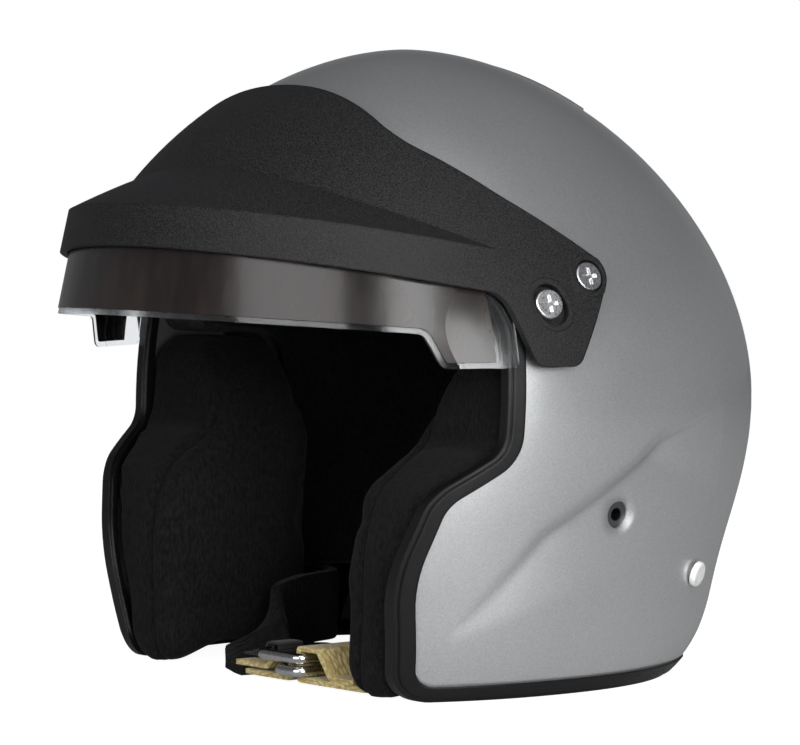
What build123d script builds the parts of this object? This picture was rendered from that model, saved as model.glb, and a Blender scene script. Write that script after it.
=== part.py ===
from build123d import *
import os
from math import atan2, cos, degrees, radians, sin, tan

os.makedirs("parts", exist_ok=True)

# Open-face helmet for auto racing, in millimetres. +Z is up, the face looks along -Y and the
# wearer's left is +X. The origin is on the middle plane, under the crown, in the plane that the
# helmet stands on.

# Outer form of the shell
shell_width = 250
front_reach = 125
rear_reach = 138
shell_height = 244
widest_height = 113.5
shell_wall = 4.2
crown_power = 1.84
side_power = 2.25
crown_powers = 2.35, 2.0
side_tuck_share, side_tuck_power = 0.156, 1.97
front_tuck_share, front_tuck_power = 0.099, 2.0
rear_tuck_share, rear_tuck_power = 0.312, 2.05
lower_level_shares = (0, 0.36, 0.7, 1)
crown_level_angles = (17, 34, 51, 66, 79)
far = 300
overrun = 2
slope_step = 1.6

# Edge of the shell, seen from the side
brow_height, brow_radius = 161, 26
temple_y = -43.5
jaw_step_y, jaw_step_height, jaw_step_radius = -47.1, 93.8, 12
jaw_top_y, jaw_top_height, jaw_top_radius = -71.9, 77.9, 20
jaw_front_y, jaw_front_height, jaw_front_radius = -80.8, 46.1, 60
jaw_foot_y, jaw_foot_radius = -74, 14

# Rubber edge trim, a channel pushed over the edge
trim_width = 6
trim_wall = 1.1
trim_lip = 1.6
trim_round = 1.3

# Raised fairing at the back of the crown
fairing_front_y, fairing_rear_y = 28, 75
fairing_front_width, fairing_rear_width = 26, 44
fairing_tilt = 4.6

# Hollow in each side, under a soft edge that climbs backwards
hollow_tip_y, hollow_tip_height = -64, 22
hollow_bend_y, hollow_bend_height = -30, 64
hollow_top_y, hollow_top_height = 26, 99
hollow_back_y, hollow_back_low_height, hollow_back_top_height = 66, 72, 107
hollow_floor_tilt, hollow_back_tilt, hollow_wall_tilt = 4.4, 3.2, 30

# Energy-absorbing liner, comfort lining and pads, as depths below the shell's outer face
fit_gap = 0.3
liner_side, liner_front, liner_rear, liner_top = 30, 26, 31, 34
comfort_thickness = 8
liner_foot_height = 32
liner_cheek_height = 130
liner_cheek_y = 4
liner_foot_radius = 12
brow_pad_height = 20
brow_pad_thickness = 10
brow_pad_width = 132
nape_pad_low, nape_pad_high = 9, 30
nape_pad_y = 52
nape_pad_depth = 36

# Cheek pads and the blocks behind them
cheek_setback = 2.6
cheek_foot_height = 6
cheek_rear_y = 0
cheek_thickness = 68
cheek_flare_height, cheek_flare_rise, cheek_flare_width = 92, 44, 31
cheek_flare_radius = 24
cheek_corner = 14
cheek_round = 6
block_depth = 20
block_inset = 12

# Terminals for a head and neck restraint, one on each side
anchor_y, anchor_height = 6.5, 67.5
anchor_diameter = 10
anchor_bore = 5
anchor_recess = 2.9
anchor_length = 9

# Rivets that hold the chin strap, with their plates
rivet_y, rivet_height = 58, 41.5
rivet_head, rivet_head_rise, rivet_head_round = 10, 2.2, 1.2
rivet_lift = 0.6
rivet_shank = 5
rivet_tail, rivet_tail_rise = 9, 1.4
plate_width, plate_length, plate_thickness = 28, 24, 1.5

# Peak: a bill round the front, a collar that hugs the shell and an arm down each side
peak_wall, collar_top_wall = 3, 2.4
collar_gap_side, collar_gap_front, collar_gap_top = 3.9, 5, 0.8
peak_centre_y, band_low_height = -33.8, 148.9
band_front_rise, band_front_y = 19.6, -137.6
band_set_in, band_overhang = 9.5, 14.4
band_height, band_draft = 16.1, 2.9
bill_insets = (14, 30, 62)
bill_rises = (9.4, 18.8, 33)
bill_drop = 1.7
collar_edge_y = -60
collar_corner_height, collar_corner_radius = 209, 14
collar_bend_y, collar_bend_height, collar_bend_radius = -36, 187.2, 60
arm_top_y, arm_top_height, arm_top_radius = 0.5, 160.5, 8
arm_foot_rear_y, arm_foot_radius = -21, 6
arm_foot_front_y = -38.5
arm_foot_height = 124.6
arm_inner_y, arm_inner_radius = -48, 10

# Screws of the peak: the rear one is the pivot, the front one runs in a slot
pivot_y, pivot_height = -9.5, 155.3
slot_y, slot_height = -29, 146
screw_head, screw_head_rise, screw_head_edge = 11.4, 2, 0.5
screw_shank = 4.8
screw_length = 9.5
cross_width, cross_length, cross_depth = 1.5, 6.6, 1.2
pocket_width = 12.4
pocket_floor = 1.3
pocket_floor_gap = 1.6
boss_width = 17
screw_gap = 0.3
head_gap = 1.3
slot_up, slot_down = 1.4, 2.5
washer_diameter, washer_thickness, washer_gap = 12, 0.7, 0.1
nut_flange, nut_flange_rise = 13, 1.3
nut_barrel, nut_length = 7, 4

# Clear strip under the peak, with a dark film on it
strip_wall = 1
strip_gap = 2.3
strip_top_rise = 0.4
strip_hidden = 12
strip_top_set_in, strip_top_setback = 15.3, 4
strip_foot_set_in, strip_foot_setback = 6.2, 5.2
strip_depth = 34
strip_front_y, strip_front_height = -141, 142.6
strip_step_y, strip_step_height, strip_step_radius = -76.6, 137.2, 3
strip_ear_y, strip_ear_height, strip_ear_radius = -71.5, 124.5, 4
strip_rear_y = -43.5
film_thickness = 0.25
film_gap = 0.2
film_border = 2.2

# Chin strap: webbing, two rings and a pull tab
web_width, web_thickness = 25, 2
sleeve_thickness, sleeve_width = 0.8, 28
plate_gap, web_gap = 0.1, 1.2
strap_slope = 43
strap_slot_length = 76
ring_wire = 4.2
ring_inside = 26.5
ring_short, ring_long = 18, 29
ring_corner, ring_bow = 4, 6
bar_place = 0.3
bar_low_height, bar_high_height = 5.4, 10.4
buckle_share, buckle_y = 0.208, -57
tab_width, tab_thickness = 12, 1
loop_route = ((-30, 2), (4, 2), (4, 14), (-8, 14), (-16, 4.1), (-30, 4.1))
thread_route = ((30, 2), (9.5, 2), (9.5, 8.8), (20, 8.8), (24.2, 5.1), (44, 5.1))
tab_route = ((48, 7.6), (25.2, 7.6), (25.2, 13.2), (32.1, 13.2), (35, 8.9), (42, 8.9))
left_x_shares = (0, 0.072, 0.174, 0.246, 0.304, 0.362, 0.413, 0.457, 0.507, 0.572)
left_route = (
    (-57, 2), (-57, 2), (-53, 2), (-44, 2), (-30, 2.2), (-13, 2.6), (2, 4.5), (9, 9), (16, 13.5),
    (24, 17.5),
)
left_lean_shares = (0, 0, 0, 0, 0, 0, 0.1, 0.3, 0.6, 0.85)
left_wall_steps = (34, 23, 12, 0, -9)
right_x_shares = (0, 0.058, 0.149, 0.256, 0.333, 0.387, 0.405, 0.491, 0.64)
right_route = (
    (-57, 2), (-57, 2), (-55, 2.3), (-47, 12), (-32, 17.5), (-12, 19), (4, 19), (14, 18.5),
    (25, 18),
)
right_lean_shares = (0, 0, 0, 0.35, 0.8, 1, 1, 1, 1)
right_wall_steps = (32, 21, 10, 0, -9)
left_sleeve_places = 2, -3
right_sleeve_places = 1, -3
route_bend = 1.2

half_width = shell_width / 2
crown_rise = shell_height - widest_height
band_half_width = half_width - band_set_in
buckle_x = buckle_share * half_width


def reaches(height, side=0, front=0, rear=0, top=0):
    """Half width, front and rear reach of the form at a height, and its powers there."""
    width, ahead, behind = half_width - side, front_reach - front, rear_reach - rear
    if height >= widest_height:
        climb = (height - widest_height) / (crown_rise - top)
        shrink = (1 - climb**crown_power)**(1 / crown_power)
        powers = [side_power + (power - side_power) * climb for power in crown_powers]
        return width * shrink, ahead * shrink, behind * shrink, *powers
    drop = (widest_height - height) / widest_height
    return (
        width * (1 - side_tuck_share * drop**side_tuck_power),
        ahead * (1 - front_tuck_share * drop**front_tuck_power),
        behind * (1 - rear_tuck_share * drop**rear_tuck_power),
        side_power,
        side_power,
    )


def handle_share(power):
    """Share of a reach at which a quarter curve has its handles, so that it is as square as
    a superellipse of that power."""
    return (8 * 2**(-1 / power) - 4) / 3


def section(height, **depths):
    """Horizontal outline of the form at a height: four smooth quarter curves."""
    width, ahead, behind, front_power, rear_power = reaches(height, **depths)
    with BuildSketch(Plane.XY.offset(height)) as slice_at:
        with BuildLine():
            for across, along in (
                (width, behind), (-width, behind), (-width, -ahead), (width, -ahead)
            ):
                grip = handle_share(rear_power if along > 0 else front_power)
                quarter = [(across, 0), (across, grip * along), (grip * across, along), (0, along)]
                Bezier(*(quarter if across * along > 0 else reversed(quarter)))
        make_face()
    return slice_at.sketch.face()


def helmet_form(side=0, front=None, rear=None, top=None):
    """Solid form of the helmet, set in by its depths (or grown, where they are negative)."""
    depths = {"side": side}
    depths["front"] = side if front is None else front
    depths["rear"] = side if rear is None else rear
    depths["top"] = side if top is None else top
    rise = crown_rise - depths["top"]
    levels = [widest_height * share for share in lower_level_shares]
    levels += [widest_height + rise * sin(radians(angle)) for angle in crown_level_angles]
    slices = [section(level, **depths) for level in levels]
    with BuildPart() as form:
        loft(slices + [Vertex(0, 0, widest_height + rise)])
    return form.part


def side_x(y, height, **depths):
    """Distance of the form's left side from the middle plane at a place seen from the side."""
    width, ahead, behind, front_power, rear_power = reaches(height, **depths)
    grip = handle_share(rear_power if y > 0 else front_power)
    share = abs(y) / (behind if y > 0 else ahead)
    low, high = 0, 1
    for _ in range(40):
        t = (low + high) / 2
        along = 3 * (1 - t)**2 * t * grip + 3 * (1 - t) * t**2 + t**3
        low, high = (t, high) if along < share else (low, t)
    return width * ((1 - t)**3 + 3 * (1 - t)**2 * t + 3 * (1 - t) * t**2 * grip)


def crown_z(y, height):
    """Height of the form over the middle plane, found from a first guess by halving."""
    low, high = widest_height, height
    for _ in range(40):
        middle = (low + high) / 2
        reach = reaches(middle)[2 if y > 0 else 1]
        low, high = (middle, high) if reach > abs(y) else (low, middle)
    return low


def side_plane(y, height, lift=0):
    """Plane on the left side of the shell, with its normal outwards, raised by a lift."""
    x = side_x(y, height)
    lean_y = (side_x(y + slope_step, height) - side_x(y - slope_step, height)) / (2 * slope_step)
    lean_z = (side_x(y, height + slope_step) - side_x(y, height - slope_step)) / (2 * slope_step)
    normal = Vector(1, -lean_y, -lean_z).normalized()
    return Plane(Vector(x, y, height) + normal * lift, x_dir=(0, 1, 0), z_dir=normal)


def side_prism(corners, radii, setback=0):
    """Bar across the helmet whose end is a rounded outline in the middle plane."""
    with BuildPart() as prism:
        with BuildSketch(Plane.YZ) as outline:
            with BuildLine():
                FilletPolyline(corners, radius=radii, close=True)
            make_face()
            if setback:
                offset(amount=-setback, kind=Kind.INTERSECTION)
        extrude(amount=far, both=True)
    return prism.part


edge_corners = [
    (-far, brow_height),
    (temple_y, brow_height),
    (jaw_step_y, jaw_step_height),
    (jaw_top_y, jaw_top_height),
    (jaw_front_y, jaw_front_height),
    (jaw_foot_y, 0),
    (far, 0),
    (far, far + crown_rise),
    (-far, far + crown_rise),
]
edge_radii = [
    overrun, brow_radius, jaw_step_radius, jaw_top_radius, jaw_front_radius, jaw_foot_radius,
    overrun, overrun, overrun,
]

outer_form = helmet_form()
inner_form = helmet_form(shell_wall)
shell_region = side_prism(edge_corners, edge_radii, trim_lip)

# Outer shell: one moulding with a fairing on the crown and a hollow in each side
fairing_height = crown_z(fairing_front_y, shell_height)
lifted_form = outer_form.rotate(
    Axis((0, fairing_front_y, fairing_height), (1, 0, 0)), fairing_tilt
)


def sunk_form(start, end, tilt):
    """Outer form turned about the line between two places of its left side."""
    points = [Vector(side_x(y, height), y, height) for y, height in (start, end)]
    return outer_form.rotate(Axis(points[0], points[1] - points[0]), tilt)


hollow_tip = hollow_tip_y, hollow_tip_height
hollow_bend = hollow_bend_y, hollow_bend_height
hollow_top = hollow_top_y, hollow_top_height
hollow_back_low = hollow_back_y, hollow_back_low_height
hollow_back_top = hollow_back_y, hollow_back_top_height

with BuildPart() as fairing:
    with BuildSketch(Plane.XY.offset(widest_height)):
        with BuildLine():
            Polyline(
                (-fairing_front_width / 2, fairing_front_y),
                (fairing_front_width / 2, fairing_front_y),
                (fairing_rear_width / 2, fairing_rear_y),
                (-fairing_rear_width / 2, fairing_rear_y),
                close=True,
            )
        make_face()
    extrude(amount=shell_height)
    add(lifted_form, mode=Mode.INTERSECT)

with BuildPart() as hollow:
    with BuildSketch(Plane.YZ):
        with BuildLine():
            Polyline(
                hollow_tip,
                (hollow_back_y, hollow_tip_height),
                hollow_back_top,
                (hollow_tip_y, hollow_back_top_height),
                close=True,
            )
        make_face()
    extrude(amount=shell_width)
    add(sunk_form(hollow_tip, hollow_back_low, -hollow_floor_tilt), mode=Mode.SUBTRACT)
    add(sunk_form(hollow_back_low, hollow_back_top, -hollow_back_tilt), mode=Mode.SUBTRACT)
    add(sunk_form(hollow_tip, hollow_bend, hollow_wall_tilt), mode=Mode.SUBTRACT)
    add(sunk_form(hollow_bend, hollow_top, hollow_wall_tilt), mode=Mode.SUBTRACT)
    add(sunk_form(hollow_top, hollow_back_top, hollow_wall_tilt), mode=Mode.SUBTRACT)

anchor_plane = side_plane(anchor_y, anchor_height)
rivet_plane = side_plane(rivet_y, rivet_height)
pivot_plane = side_plane(pivot_y, pivot_height)
slot_plane = side_plane(slot_y, slot_height)

with BuildPart() as side_holes:
    for side_place, hole in (
        (anchor_plane, anchor_diameter + fit_gap),
        (rivet_plane, rivet_shank + plate_gap),
        (pivot_plane, nut_barrel + plate_gap),
        (slot_plane, nut_barrel + plate_gap),
    ):
        with BuildSketch(side_place.offset(-shell_wall - overrun)):
            Circle(hole / 2)
        extrude(amount=shell_wall + 2 * overrun)
    mirror(about=Plane.YZ)

with BuildPart() as outer_shell:
    add(outer_form)
    add(fairing.part)
    add(hollow.part, mode=Mode.SUBTRACT)
    add(hollow.part.mirror(Plane.YZ), mode=Mode.SUBTRACT)
    add(inner_form, mode=Mode.SUBTRACT)
    add(shell_region, mode=Mode.INTERSECT)
    add(side_holes.part, mode=Mode.SUBTRACT)
outer_shell.part.label = "outer_shell"
export_step(outer_shell.part, "parts/outer_shell.step")

# Edge trim: rubber channel all round the edge, with its flanges inside and outside the shell
with BuildPart() as trim_nose:
    add(outer_form)
    add(inner_form, mode=Mode.SUBTRACT)
    add(side_prism(edge_corners, edge_radii), mode=Mode.INTERSECT)

with BuildPart() as edge_trim:
    add(helmet_form(-trim_wall))
    add(helmet_form(shell_wall + trim_wall), mode=Mode.SUBTRACT)
    add(side_prism(edge_corners, edge_radii, trim_round), mode=Mode.INTERSECT)
    add(trim_nose.part)
    add(side_prism(edge_corners, edge_radii, trim_width), mode=Mode.SUBTRACT)
    add(outer_shell.part, mode=Mode.SUBTRACT)
edge_trim.part.label = "edge_trim"
export_step(edge_trim.part, "parts/edge_trim.step")

# Impact liner: moulded foam inside the shell, cut away where the cheek blocks go
liner_setback = trim_width + fit_gap
liner_outer = shell_wall + fit_gap
liner_depths = dict(side=liner_side, front=liner_front, rear=liner_rear, top=liner_top)
liner_corners = [
    (-far, brow_height + liner_setback),
    (temple_y + liner_setback, brow_height + liner_setback),
    (temple_y + liner_setback, liner_cheek_height),
    (liner_cheek_y, liner_cheek_height),
    (liner_cheek_y, liner_foot_height),
    (far, liner_foot_height),
    (far, far),
    (-far, far),
]
liner_radii = [
    overrun, brow_radius, liner_foot_radius, liner_foot_radius, liner_foot_radius,
    overrun, overrun, overrun,
]

strap_depth = shell_wall + plate_gap + plate_thickness + web_gap + web_thickness / 2
slot_shift = strap_slot_length / 2 - plate_length
slot_shift_y = slot_shift * cos(radians(strap_slope))
slot_shift_z = slot_shift * sin(radians(strap_slope))

with BuildPart() as liner_pockets:
    with BuildSketch(anchor_plane.offset(-anchor_recess - anchor_length - fit_gap)):
        Circle(anchor_diameter / 2 + fit_gap)
    extrude(amount=anchor_length)
    for screw_plane in (pivot_plane, slot_plane):
        with BuildSketch(screw_plane.offset(-shell_wall - nut_flange_rise - 2 * fit_gap)):
            Circle(nut_flange / 2 + fit_gap)
        extrude(amount=shell_wall)
    with BuildSketch(rivet_plane.offset(-strap_depth - sleeve_width / 4)):
        with Locations((-slot_shift_y, -slot_shift_z)):
            Rectangle(strap_slot_length, plate_width + 5 * web_thickness, rotation=strap_slope)
    extrude(amount=far)
    mirror(about=Plane.YZ)

with BuildPart() as impact_liner:
    add(helmet_form(liner_outer))
    add(helmet_form(**liner_depths), mode=Mode.SUBTRACT)
    add(side_prism(liner_corners, liner_radii), mode=Mode.INTERSECT)
    add(liner_pockets.part, mode=Mode.SUBTRACT)
impact_liner.part.label = "impact_liner"
export_step(impact_liner.part, "parts/impact_liner.step")

# Comfort lining: a padded fabric cap inside the impact liner
comfort_outer = {name: depth + fit_gap for name, depth in liner_depths.items()}
comfort_inner = {name: depth + comfort_thickness for name, depth in comfort_outer.items()}
comfort_low = brow_height + liner_setback + brow_pad_height
comfort_corners = [
    (-far, comfort_low),
    (temple_y + liner_setback, comfort_low),
    (temple_y + liner_setback + fit_gap, liner_cheek_height + fit_gap),
    (liner_cheek_y + fit_gap, liner_cheek_height + fit_gap),
    (liner_cheek_y + fit_gap, liner_foot_height + fit_gap),
    (far, liner_foot_height + fit_gap),
    (far, far),
    (-far, far),
]

with BuildPart() as comfort_liner:
    add(helmet_form(**comfort_outer))
    add(helmet_form(**comfort_inner), mode=Mode.SUBTRACT)
    add(side_prism(comfort_corners, liner_radii), mode=Mode.INTERSECT)
comfort_liner.part.label = "comfort_liner"
export_step(comfort_liner.part, "parts/comfort_liner.step")

# Brow pad: a thicker roll across the forehead
brow_inner = {name: depth + brow_pad_thickness for name, depth in comfort_outer.items()}
with BuildPart() as brow_pad:
    with BuildSketch(Plane.XY.offset(brow_height + liner_setback)):
        with Locations((0, -far / 2)):
            Rectangle(brow_pad_width, far)
    extrude(amount=brow_pad_height - fit_gap)
    add(helmet_form(**comfort_outer), mode=Mode.INTERSECT)
    add(helmet_form(**brow_inner), mode=Mode.SUBTRACT)
    add(side_prism(comfort_corners, liner_radii, -fit_gap), mode=Mode.SUBTRACT)
brow_pad.part.label = "brow_pad"
export_step(brow_pad.part, "parts/brow_pad.step")

# Nape pad: a roll along the back of the neck
with BuildPart() as nape_pad:
    with BuildSketch(Plane.XY.offset(nape_pad_low)):
        with Locations((0, nape_pad_y + far / 2)):
            Rectangle(shell_width, far)
    extrude(amount=nape_pad_high - nape_pad_low)
    add(helmet_form(shell_wall + trim_wall + fit_gap), mode=Mode.INTERSECT)
    add(helmet_form(nape_pad_depth), mode=Mode.SUBTRACT)
    add(liner_pockets.part, mode=Mode.SUBTRACT)
nape_pad.part.label = "nape_pad"
export_step(nape_pad.part, "parts/nape_pad.step")

# Cheek pads: fabric over foam, wrapped round a firm block on each side
cheek_top_height = liner_cheek_height - 2 * fit_gap
cheek_corners = [
    (temple_y + cheek_setback, cheek_top_height),
    (jaw_step_y + cheek_setback, jaw_step_height),
    (jaw_top_y + cheek_setback, jaw_top_height),
    (jaw_front_y + cheek_setback, jaw_front_height),
    (jaw_foot_y + cheek_setback, cheek_foot_height),
    (cheek_rear_y, cheek_foot_height),
    (cheek_rear_y, cheek_top_height),
]
cheek_radii = [
    cheek_corner, jaw_step_radius / 2, jaw_top_radius, jaw_front_radius, cheek_corner, cheek_corner,
    cheek_corner,
]
cheek_outer = shell_wall + trim_wall + fit_gap
cheek_inner_x = half_width - cheek_thickness
flare_x = cheek_inner_x + cheek_flare_width
flare_top = cheek_flare_height + cheek_flare_rise
block_outer = helmet_form(cheek_outer)

with BuildPart() as face_space:
    with BuildSketch(Plane.XZ):
        with BuildLine():
            FilletPolyline(
                (-cheek_inner_x, -overrun), (-cheek_inner_x, cheek_flare_height), (-flare_x, flare_top),
                (-flare_x, far), (flare_x, far), (flare_x, flare_top),
                (cheek_inner_x, cheek_flare_height), (cheek_inner_x, -overrun),
                radius=[
                    overrun / 2, cheek_flare_radius, cheek_flare_radius / 2, overrun, overrun,
                    cheek_flare_radius / 2, cheek_flare_radius, overrun / 2,
                ],
                close=True,
            )
        make_face()
    extrude(amount=far, both=True)

with BuildPart() as cheek_block_left:
    add(side_prism(cheek_corners, cheek_radii, block_inset))
    add(block_outer, mode=Mode.INTERSECT)
    add(helmet_form(block_depth), mode=Mode.SUBTRACT)
    split(bisect_by=Plane.YZ, keep=Keep.TOP)
cheek_block_left.part.label = "cheek_block_left"
export_step(cheek_block_left.part, "parts/cheek_block_left.step")

with BuildPart() as block_space:
    add(side_prism(cheek_corners, cheek_radii, block_inset - fit_gap))
    add(helmet_form(block_depth + fit_gap), mode=Mode.SUBTRACT)

with BuildPart() as cheek_pad_left:
    add(side_prism(cheek_corners, cheek_radii))
    add(face_space.part, mode=Mode.SUBTRACT)
    split(bisect_by=Plane.YZ, keep=Keep.TOP)
    inner_edges = cheek_pad_left.edges().filter_by_position(
        Axis.X, cheek_inner_x - fit_gap, cheek_inner_x + fit_gap
    )
    flare_edge = inner_edges.filter_by(Axis.Y).sort_by(Axis.Z)[-1]
    fillet([edge for edge in inner_edges if edge != flare_edge], cheek_round)
    add(block_outer, mode=Mode.INTERSECT)
    add(block_space.part, mode=Mode.SUBTRACT)
cheek_pad_left.part.label = "cheek_pad_left"
export_step(cheek_pad_left.part, "parts/cheek_pad_left.step")

with BuildPart() as cheek_block_right:
    add(cheek_block_left.part.mirror(Plane.YZ))
cheek_block_right.part.label = "cheek_block_right"
export_step(cheek_block_right.part, "parts/cheek_block_right.step")

with BuildPart() as cheek_pad_right:
    add(cheek_pad_left.part.mirror(Plane.YZ))
cheek_pad_right.part.label = "cheek_pad_right"
export_step(cheek_pad_right.part, "parts/cheek_pad_right.step")

# Terminals: a threaded insert in the bottom of each recess
with BuildPart() as anchor_insert_left:
    with BuildSketch(anchor_plane.offset(-anchor_recess - anchor_length)):
        Circle(anchor_diameter / 2)
        Circle(anchor_bore / 2, mode=Mode.SUBTRACT)
    extrude(amount=anchor_length)
anchor_insert_left.part.label = "anchor_insert_left"
export_step(anchor_insert_left.part, "parts/anchor_insert_left.step")

with BuildPart() as anchor_insert_right:
    add(anchor_insert_left.part.mirror(Plane.YZ))
anchor_insert_right.part.label = "anchor_insert_right"
export_step(anchor_insert_right.part, "parts/anchor_insert_right.step")

# Peak
tilt = degrees(atan2(band_front_rise, peak_centre_y - band_front_y))
band_half_length = front_reach + peak_centre_y + band_overhang
peak_plane = Plane(
    (0, peak_centre_y, band_low_height),
    x_dir=(1, 0, 0),
    z_dir=(0, sin(radians(tilt)), cos(radians(tilt))),
)


def oval(plane, half_width_at, half_length_at, level):
    """Face of an oval at a level over a plane."""
    with BuildSketch(plane.offset(level)) as at_level:
        Ellipse(half_width_at, half_length_at)
    return at_level.sketch.face()


def bill_form(inset, drop):
    """Solid under the bill: a drafted band below and a rounded roof on it."""
    low = (band_half_width - inset, band_half_length - inset)
    high = (low[0] - band_draft, low[1])
    level = band_height - drop
    roof = [oval(peak_plane, *high, level)]
    for step, rise in zip(bill_insets, bill_rises):
        roof.append(oval(peak_plane, high[0] - step, high[1] - step, level + rise))
    with BuildPart() as bill:
        loft([oval(peak_plane, *low, -arm_foot_radius), oval(peak_plane, *low, 0)], ruled=True)
        loft([oval(peak_plane, *low, 0), roof[0]], ruled=True)
        loft(roof)
    return bill.part


def band_line(y, lift=0):
    """Height of the lower edge of the band at a place along the helmet."""
    return band_low_height - (y - peak_centre_y) * tan(radians(tilt)) + lift


collar = dict(
    side=-collar_gap_side, front=-collar_gap_front, rear=-collar_gap_side, top=-collar_gap_top
)
collar_skin = {name: depth - peak_wall for name, depth in collar.items()}
collar_skin["top"] = collar["top"] - collar_top_wall
peak_corners = [
    (-far, band_line(-far)),
    (arm_inner_y, band_line(arm_inner_y)),
    (arm_foot_front_y, arm_foot_height),
    (arm_foot_rear_y, arm_foot_height),
    (arm_top_y, arm_top_height),
    (collar_bend_y, collar_bend_height),
    (collar_edge_y, collar_corner_height),
    (collar_edge_y, far + crown_rise),
    (-far, far + crown_rise),
]
peak_radii = [
    overrun, arm_inner_radius, arm_foot_radius, arm_foot_radius, arm_top_radius,
    collar_bend_radius, collar_corner_radius, overrun, overrun,
]
slot_run = Vector(pivot_y - slot_y, pivot_height - slot_height)
slot_angle = degrees(atan2(slot_run.X, -slot_run.Y))
slot_offset = (slot_up - slot_down) / 2
slot_centre = (slot_offset * cos(radians(slot_angle)), slot_offset * sin(radians(slot_angle)))
slot_travel = slot_up + slot_down
pocket_bottom = pocket_floor_gap + pocket_floor


def screw_places(width, low, amount):
    """Round bar on the pivot screw's place and a longer one on the slot screw's place."""
    with BuildPart() as bars:
        with BuildSketch(pivot_plane.offset(low)):
            Circle(width / 2)
        extrude(amount=amount)
        with BuildSketch(slot_plane.offset(low)):
            with Locations(slot_centre):
                SlotOverall(slot_travel + width, width, rotation=slot_angle)
        extrude(amount=amount)
        mirror(about=Plane.YZ)
    return bars.part


with BuildPart() as peak_outside:
    add(helmet_form(**collar_skin))
    add(bill_form(0, 0))
with BuildPart() as peak_inside:
    add(helmet_form(**collar))
    add(bill_form(peak_wall, bill_drop))

bosses = screw_places(boss_width, pocket_floor_gap, collar_gap_front)
pockets = screw_places(pocket_width, pocket_bottom, far / 2)
screw_holes = screw_places(screw_shank + 2 * screw_gap, 0, far / 2)

with BuildPart() as peak:
    add(peak_outside.part)
    add(peak_inside.part, mode=Mode.SUBTRACT)
    add(bosses)
    add(side_prism(peak_corners, peak_radii), mode=Mode.INTERSECT)
    add(pockets, mode=Mode.SUBTRACT)
    add(screw_holes, mode=Mode.SUBTRACT)
peak.part.label = "peak"
export_step(peak.part, "parts/peak.step")

# Screws, washers and nuts of the peak
head_base = pocket_bottom + head_gap


def screw(plane):
    """Cross-recessed pan-head screw standing on a plane of the shell."""
    with BuildPart() as one:
        with BuildSketch(plane.offset(head_base)):
            Circle(screw_head / 2)
        extrude(amount=screw_head_rise)
        chamfer(one.edges().sort_by(Axis(plane.origin, plane.z_dir))[-1], screw_head_edge)
        with BuildSketch(plane.offset(head_base + screw_head_rise - cross_depth)):
            Rectangle(cross_length, cross_width)
            Rectangle(cross_width, cross_length)
        extrude(amount=screw_head_rise, mode=Mode.SUBTRACT)
        with BuildSketch(plane.offset(head_base - screw_length)):
            Circle(screw_shank / 2)
        extrude(amount=screw_length)
        mirror(about=Plane.YZ)
    return one.part


with BuildPart() as pivot_screws:
    add(screw(pivot_plane))
pivot_screws.part.label = "pivot_screws"
export_step(pivot_screws.part, "parts/pivot_screws.step")

with BuildPart() as slot_screws:
    add(screw(slot_plane))
slot_screws.part.label = "slot_screws"
export_step(slot_screws.part, "parts/slot_screws.step")

with BuildPart() as screw_washers:
    for screw_plane in (pivot_plane, slot_plane):
        with BuildSketch(screw_plane.offset(washer_gap)):
            Circle(washer_diameter / 2)
            Circle((screw_shank + screw_gap) / 2, mode=Mode.SUBTRACT)
        extrude(amount=washer_thickness)
    mirror(about=Plane.YZ)
screw_washers.part.label = "screw_washers"
export_step(screw_washers.part, "parts/screw_washers.step")

with BuildPart() as peak_nuts:
    for screw_plane in (pivot_plane, slot_plane):
        for around, rise in ((nut_flange, nut_flange_rise), (nut_barrel, nut_length)):
            with BuildSketch(screw_plane.offset(-shell_wall - fit_gap - nut_flange_rise)):
                Circle(around / 2)
                Circle(screw_shank / 2, mode=Mode.SUBTRACT)
            extrude(amount=rise)
    mirror(about=Plane.YZ)
peak_nuts.part.label = "peak_nuts"
export_step(peak_nuts.part, "parts/peak_nuts.step")

# Clear strip and its film
strip_corners = [
    (strip_front_y, strip_front_height),
    (strip_step_y, strip_step_height),
    (strip_ear_y, strip_ear_height),
    (strip_rear_y, strip_ear_height),
    (strip_rear_y, band_line(strip_rear_y, strip_hidden)),
    (strip_front_y, band_line(strip_front_y, strip_hidden)),
]
strip_radii = [overrun, strip_step_radius, strip_ear_radius, overrun, overrun, overrun]
film_corners = [
    (y if y < strip_rear_y else arm_inner_y - film_border, height) for y, height in strip_corners
]


def strip_form(depth):
    """Solid inside the strip's outer face, set in by a depth."""
    with BuildPart() as form:
        add(helmet_form(depth - strip_gap - strip_wall, top=depth - strip_top_rise))
        loft([
            oval(
                peak_plane,
                half_width - strip_foot_set_in - depth,
                band_half_length - strip_foot_setback - depth,
                -strip_depth,
            ),
            oval(
                peak_plane,
                half_width - strip_top_set_in - depth,
                band_half_length - strip_top_setback - depth,
                strip_hidden,
            ),
        ], ruled=True)
    return form.part


with BuildPart() as sun_strip:
    add(strip_form(0))
    add(strip_form(strip_wall), mode=Mode.SUBTRACT)
    add(side_prism(strip_corners, strip_radii), mode=Mode.INTERSECT)
    split(bisect_by=peak_plane.offset(strip_hidden - screw_gap), keep=Keep.BOTTOM)
sun_strip.part.label = "sun_strip"
export_step(sun_strip.part, "parts/sun_strip.step")

with BuildPart() as tint_film:
    add(strip_form(-film_gap - film_thickness))
    add(strip_form(-film_gap), mode=Mode.SUBTRACT)
    add(side_prism(film_corners, strip_radii, film_border), mode=Mode.INTERSECT)
    split(bisect_by=peak_plane.offset(strip_hidden - film_border), keep=Keep.BOTTOM)
tint_film.part.label = "tint_film"
export_step(tint_film.part, "parts/tint_film.step")

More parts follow.
